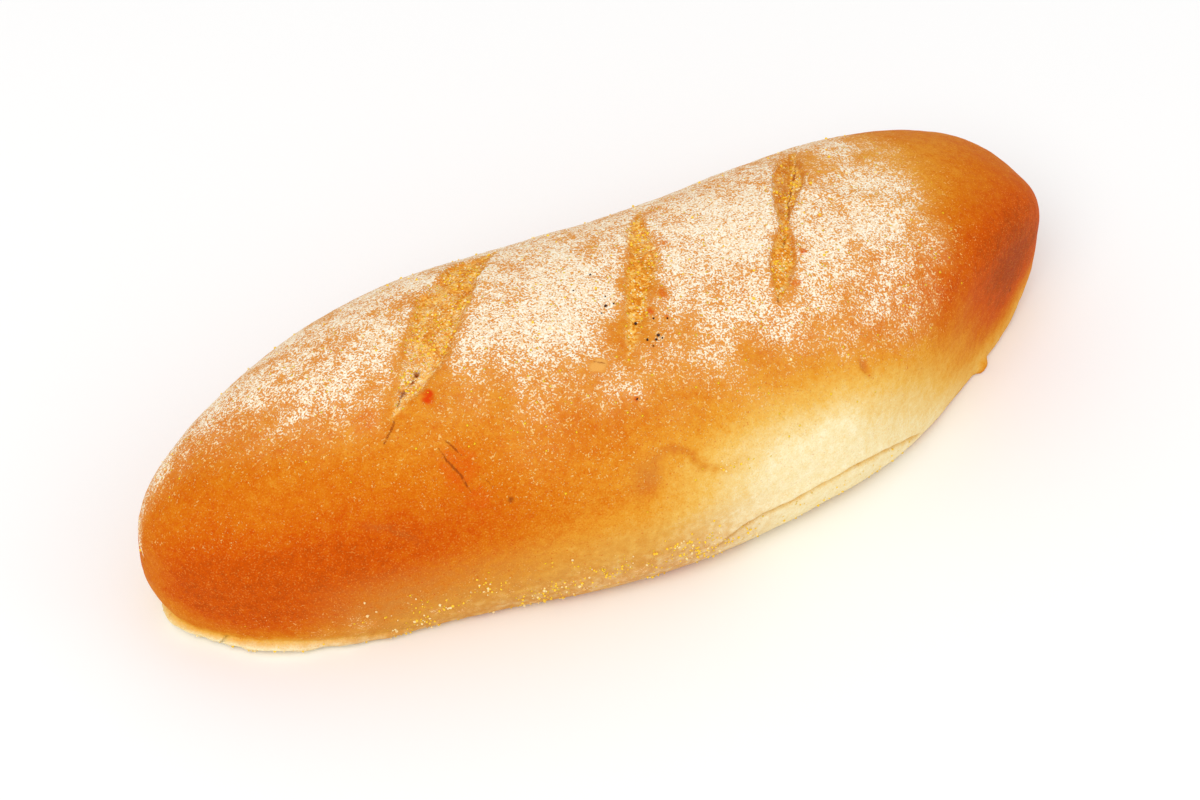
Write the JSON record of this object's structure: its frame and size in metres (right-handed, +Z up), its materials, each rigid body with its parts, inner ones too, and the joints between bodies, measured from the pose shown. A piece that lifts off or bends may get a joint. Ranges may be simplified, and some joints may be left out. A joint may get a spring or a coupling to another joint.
{
  "type": "sourdough loaf",
  "caption": "Long baked loaf with rounded ends, slanted slashes over a floured golden crust, and a flat foot to rest on.",
  "frame": {"origin": "middle of the bounding box, at the level of the flat foot", "axes": "+X along the loaf, +Y across it, +Z up from the foot; the front, with the pale patch, faces -Y"},
  "size_m": [0.285, 0.1084, 0.0709],
  "materials": {
    "crust": "baked bread crust: orange brown at the ends, golden at the sides, dusted with flour on top, matt"
  },
  "bodies": {
    "root": {"loaf": "crust"}
  },
  "joints": []
}
